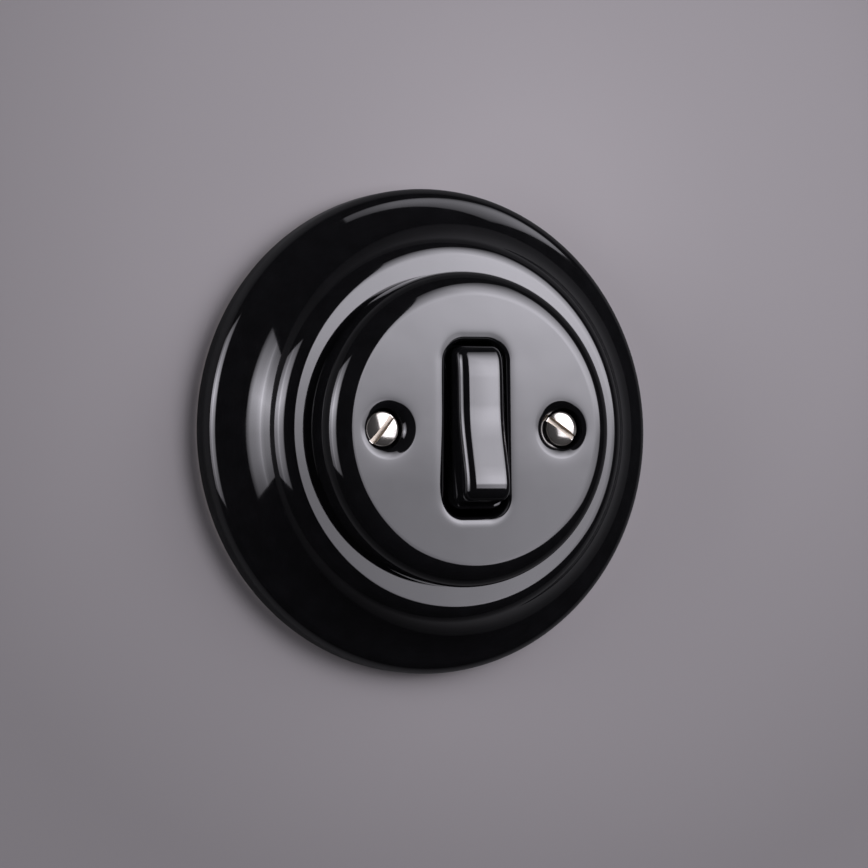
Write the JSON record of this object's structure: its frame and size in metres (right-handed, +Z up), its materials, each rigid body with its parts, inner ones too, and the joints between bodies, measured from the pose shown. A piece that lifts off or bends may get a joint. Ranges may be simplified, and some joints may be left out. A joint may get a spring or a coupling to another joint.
{
  "type": "ceramic light switch",
  "caption": "Round glazed porcelain wall light switch with an ogee frame, a screw-fixed cover plate and a long narrow rocker that works a changeover contact.",
  "frame": {"origin": "centre of the frame's back, in the plane of the wall, midway between the wall-box screws", "axes": "+X to the right, +Y into the wall, +Z up; the front faces -Y"},
  "size_m": [0.1, 0.0504, 0.1],
  "materials": {
    "black_glaze": "glossy black glaze",
    "black_moulding": "polished black moulding",
    "nickel": "polished nickel plate",
    "zinc_steel": "zinc plated sheet",
    "ivory_moulding": "matt thermoset moulding",
    "brown_fibre": "vulcanised fibre sheet",
    "white_moulding": "smooth acetal",
    "brass": "bare stamped brass",
    "silver": "silver contact metal"
  },
  "bodies": {
    "switch": {"outer_frame": "black_glaze", "cover_plate": "black_glaze", "cover_screws": "nickel", "threaded_pillars": "brass", "mounting_plate": "zinc_steel", "pivot_bracket": "zinc_steel", "pivot_pin": "zinc_steel", "bracket_screws": "zinc_steel", "square_nuts": "zinc_steel", "switch_base": "ivory_moulding", "chamber_lid": "brown_fibre", "bridge_cradle": "brass", "common_terminal": "brass", "upper_terminal": "brass", "lower_terminal": "brass", "fixed_contacts": "silver", "terminal_screws": "nickel", "clamp_plates": "zinc_steel"},
    "rocker": {"rocker": "black_moulding", "plunger_spring": "zinc_steel"},
    "plunger": {"plunger": "white_moulding"},
    "bridge": {"contact_bridge": "brass", "moving_contacts": "silver"}
  },
  "joints": [
    {"name": "rocker_tilt", "type": "hinge", "parent": "switch", "child": "rocker", "pos_m": [0, -0.02, 0], "axis": [1, 0, 0], "range_deg": [0, 14]},
    {"name": "plunger_slide", "type": "slide", "parent": "rocker", "child": "plunger", "axis": [0, -0.9925, 0.1219], "range_m": [0, 0.0012], "stiffness_N_per_m": 400, "springref_m": -0.004, "deforming": ["plunger_spring"]},
    {"name": "bridge_rock", "type": "hinge", "parent": "switch", "child": "bridge", "pos_m": [0, 0.0037, 0], "axis": [1, 0, 0], "range_deg": [-10, 0]}
  ],
  "couplings": [
    {"joint": "bridge_rock", "follows": "rocker_tilt", "ratio": -0.71429}
  ]
}
